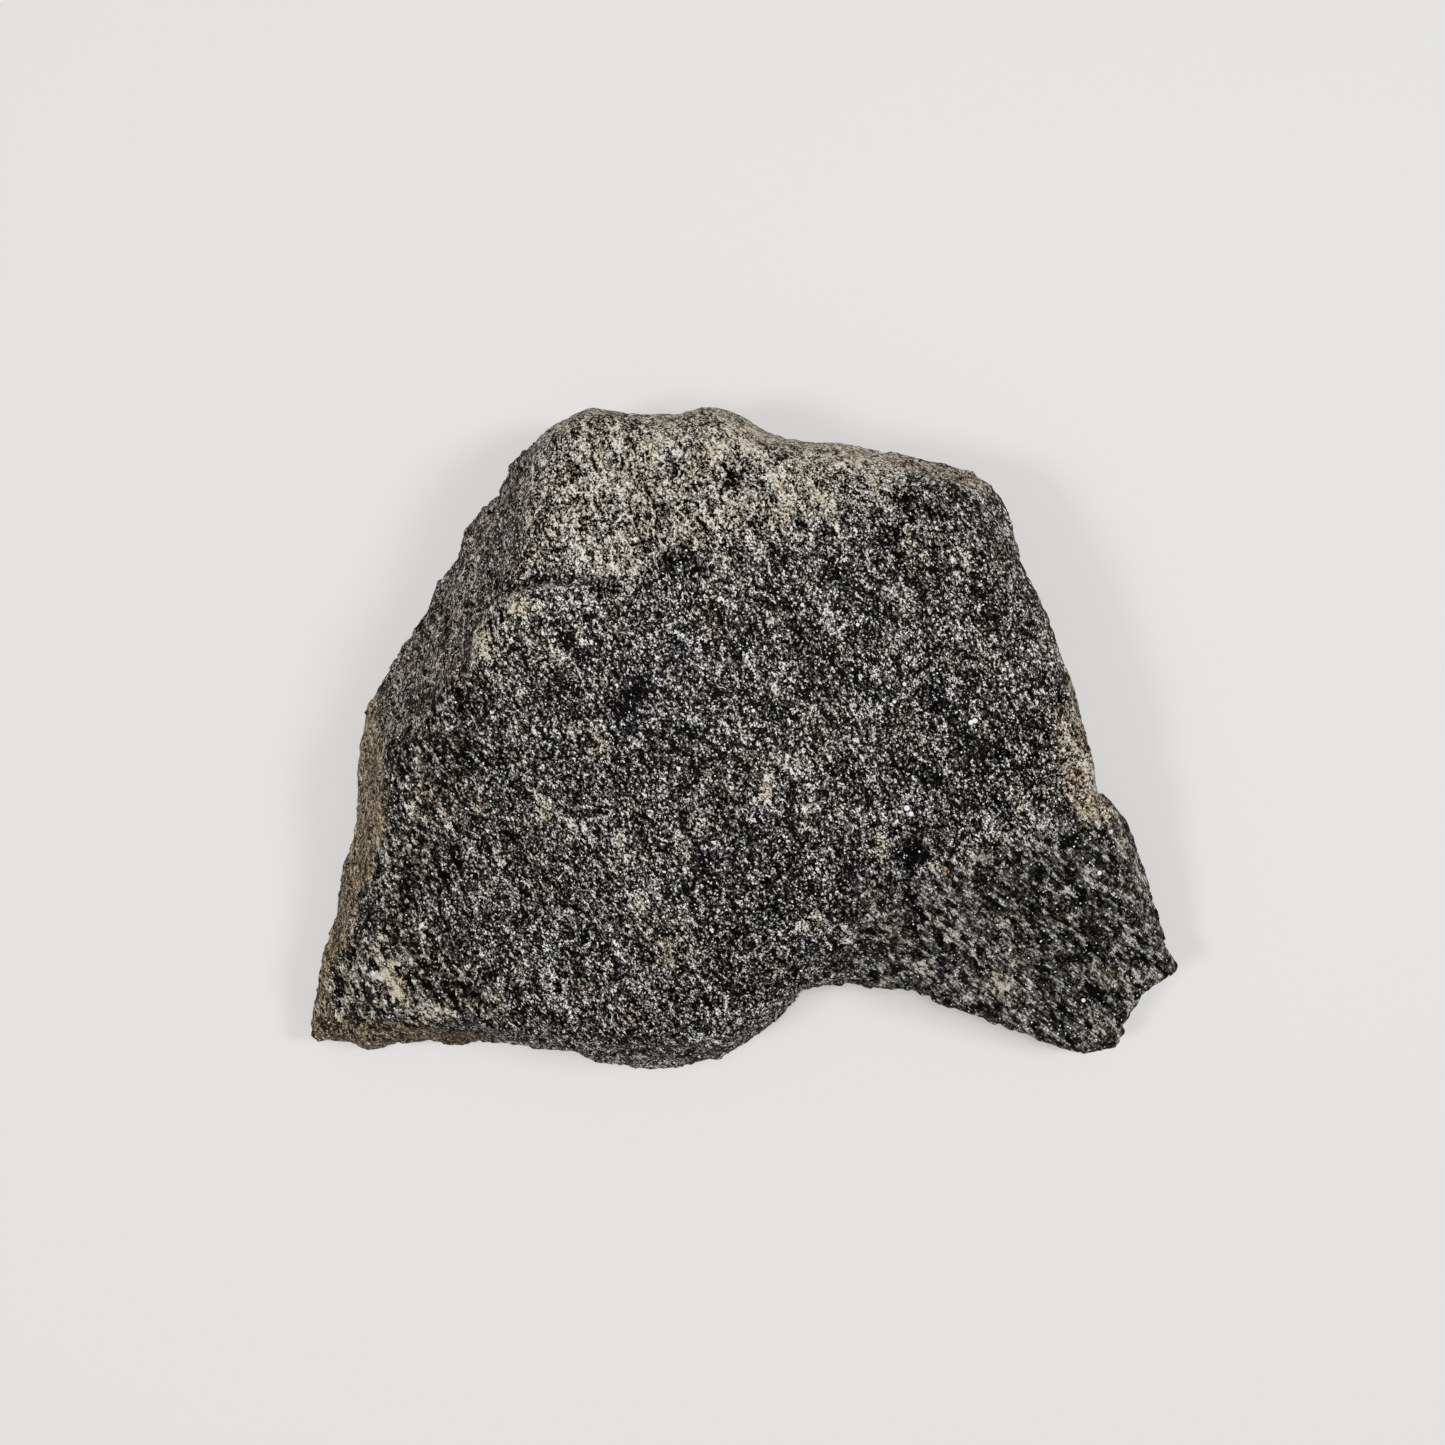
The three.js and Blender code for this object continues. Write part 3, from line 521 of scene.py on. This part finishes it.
# Weathering has warmed some patches more than others.
warmth = add(tree, "ShaderNodeSeparateColor", {0: cloud(5.0 * MM, 1.8, 2.0, 0.5)["Color"]}).outputs[1]
surface = add(tree, "ShaderNodeMix", {0: sharpen(warmth, 3.0), 6: surface, 7: linear("#f7f1e6")},
              data_type="RGBA", blend_type="MULTIPLY").outputs[2]

# Clay yellows the grains of a feldspar clot, and iron rusts those around it.
for name, tint in (("feldspar", "#f5f0e4"), ("rust", "#e0c0ad")):
    cover = sharpen(centred(large[2], 0.8, kept(name)), 1.6)
    surface = add(tree, "ShaderNodeMix", {0: cover, 6: surface, 7: linear(tint)},
                  data_type="RGBA", blend_type="MULTIPLY").outputs[2]

# Painted highlights: here and there a cleavage face of feldspar or mica is painted
# white as a glint. The widest of them, in mm from above: x, y, reach.
PAINTED_GLINTS = [
    (27.5, 2.1, 0.30), (28.0, 2.3, 0.30), (13.6, 13.8, 0.22), (19.3, 6.7, 0.22), (18.1, 4.6, 0.20), (1.1, 3.5, 0.22),
    (6.9, 16.1, 0.20), (44.8, -16.8, 0.28), (43.8, -33.6, 0.26), (33.7, -26.6, 0.20), (19.8, -8.3, 0.34),
    (20.3, -9.0, 0.30),
]
# Painted glints on a few of the finest grains at random, kept off the underside.
painted_glint = sharpen(reckon(tree, "SUBTRACT", finest[1], 0.485), 60.0)
from_above = add(tree, "ShaderNodeVectorMath", {0: here, 1: (1.0, 1.0, 0.0)}, operation="MULTIPLY").outputs[0]
for x, y, reach in PAINTED_GLINTS:
    away = add(tree, "ShaderNodeVectorMath", {0: from_above, 1: (x * MM, y * MM, 0.0)}, operation="DISTANCE")
    near = reckon(tree, "LESS_THAN", away.outputs["Value"], reach * MM)
    painted_glint = reckon(tree, "MAXIMUM", painted_glint, near)
painted_glint = reckon(tree, "MINIMUM", painted_glint, reckon(tree, "SUBTRACT", 1.0, kept("underside")))
# The painted glints go into the colour as near-white.
surface = add(tree, "ShaderNodeMix", {0: painted_glint, 6: surface, 7: linear("#f2f3f3")}, data_type="RGBA").outputs[2]

# Grains stand a little proud of, or below, their neighbours.
lift = reckon(tree, "MULTIPLY_ADD", small_away, -0.7, small[2])
lift = reckon(tree, "MULTIPLY_ADD", large[2], 0.8, lift)
bump = add(tree, "ShaderNodeBump", {"Height": lift, "Strength": 0.7, "Distance": 0.10 * MM}).outputs[0]
dullness = add(tree, "ShaderNodeMapRange", {"Value": lot, "To Min": 0.42, "To Max": 0.8}).outputs[0]
face = add(tree, "ShaderNodeBsdfPrincipled",
           {"Base Color": surface, "Roughness": dullness, "Normal": bump, "IOR": 1.5,
            "Specular IOR Level": 0.04})
add(tree, "ShaderNodeOutputMaterial", {"Surface": face.outputs[0]})

roughen = stone.modifiers.new("broken relief", "NODES")
roughen.node_group = relief
for item in relief.interface.items_tree:
    if item.in_out == "INPUT" and item.name in RELIEF_SIZES:
        roughen[item.identifier] = RELIEF_SIZES[item.name]
    elif item.in_out == "INPUT" and item.name == "Rock":
        roughen[item.identifier] = rock
settle_modifiers(stone)
stone.data.shade_smooth()

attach(stone, "root")
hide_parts("gneiss_stone")

# ---------------------------------------------------------------------------
# The table: matt white paper, wide enough to fill the view.
# ---------------------------------------------------------------------------
PAPER_HALF = 0.6
table = bpy.data.objects.new("paper", bpy.data.meshes.new("paper"))
table.data.from_pydata(
    [(-PAPER_HALF, -PAPER_HALF, 0), (PAPER_HALF, -PAPER_HALF, 0),
     (PAPER_HALF, PAPER_HALF, 0), (-PAPER_HALF, PAPER_HALF, 0)], [], [(0, 1, 2, 3)])
scene.collection.objects.link(table)
paper = bpy.data.materials.new("matt_white_paper")
paper.use_nodes = True
sheet = paper.node_tree.nodes["Principled BSDF"]
sheet.inputs["Base Color"].default_value = linear("#e9e8e6")
sheet.inputs["Roughness"].default_value = 0.9
sheet.inputs["Specular IOR Level"].default_value = 0.1
table.data.materials.append(paper)

# ---------------------------------------------------------------------------
# The camera, straight above and close, so that the raised middle looks larger
# than the rim; and the light: an even room, with a soft lamp on either side.
# ---------------------------------------------------------------------------
EYE = (-2.58 * MM, 2.09 * MM, 205 * MM)
FOCAL_OVER_WIDTH = 1525 / 1445
lens = bpy.data.cameras.new("camera")
lens.sensor_width = 36
lens.lens = lens.sensor_width * FOCAL_OVER_WIDTH
lens.clip_start = 0.01
camera = bpy.data.objects.new("camera", lens)
camera.location = EYE
scene.collection.objects.link(camera)
scene.camera = camera
scene.view_settings.view_transform = "Standard"

# Lamps: side in degrees from +X, climb above the table, size and power.
LAMP_AWAY = 0.9
LAMPS = {
    "left lamp": (197, 50, 0.20, 1.35),
    "right lamp": (6, 46, 0.24, 1.6),
    "ceiling lamp": (90, 86.5, 0.34, 4.4),
}
for name, (side, climb, size, watts) in LAMPS.items():
    lamp = bpy.data.lights.new(name, "AREA")
    lamp.shape = "DISK"
    lamp.size = size
    lamp.energy = watts
    toward = Vector((1, 0, 0))
    toward.rotate(Euler((0, -math.radians(climb), math.radians(side))))
    stand = bpy.data.objects.new(name, lamp)
    stand.location = toward * LAMP_AWAY
    stand.rotation_euler = toward.to_track_quat("Z", "Y").to_euler()
    scene.collection.objects.link(stand)

room = bpy.data.worlds.new("room")
room.use_nodes = True
room.node_tree.nodes["Background"].inputs["Color"].default_value = linear("#ffffff")
room.node_tree.nodes["Background"].inputs["Strength"].default_value = 0.17
scene.world = room
